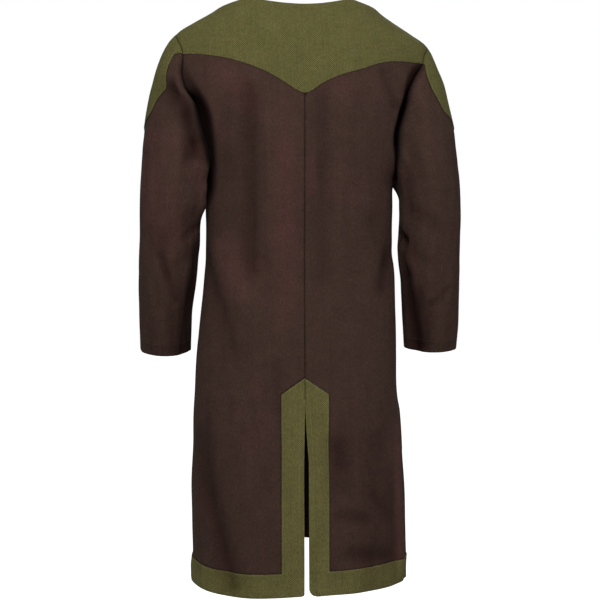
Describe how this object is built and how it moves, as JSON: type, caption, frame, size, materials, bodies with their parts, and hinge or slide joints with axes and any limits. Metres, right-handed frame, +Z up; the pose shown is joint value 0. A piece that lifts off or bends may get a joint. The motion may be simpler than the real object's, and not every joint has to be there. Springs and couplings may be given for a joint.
{
  "type": "viking tunic",
  "caption": "Worn long-sleeved knee-length tunic with a pointed yoke, pointed caps over the sleeve heads, a faced slit at the back and a hem band.",
  "frame": {"origin": "middle of the neck opening, level with the neck's side points, where the wearer's shoulders hold the tunic up", "axes": "+Z up, -Y the way the wearer faces, +X towards the wearer's left"},
  "size_m": [0.61, 0.304, 1.1081],
  "materials": {
    "brown_cloth": "matt dark brown herringbone",
    "olive_cloth": "matt olive green herringbone"
  },
  "bodies": {
    "root": {"back_left": "brown_cloth", "back_right": "brown_cloth", "front": "brown_cloth", "sleeve_left": "brown_cloth", "sleeve_right": "brown_cloth", "back_yoke": "olive_cloth", "front_yoke": "olive_cloth", "sleeve_cap_left": "olive_cloth", "sleeve_cap_right": "olive_cloth", "slit_facing_left": "olive_cloth", "slit_facing_right": "olive_cloth", "hem_band_back_left": "olive_cloth", "hem_band_back_right": "olive_cloth", "hem_band_front": "olive_cloth"}
  },
  "joints": []
}
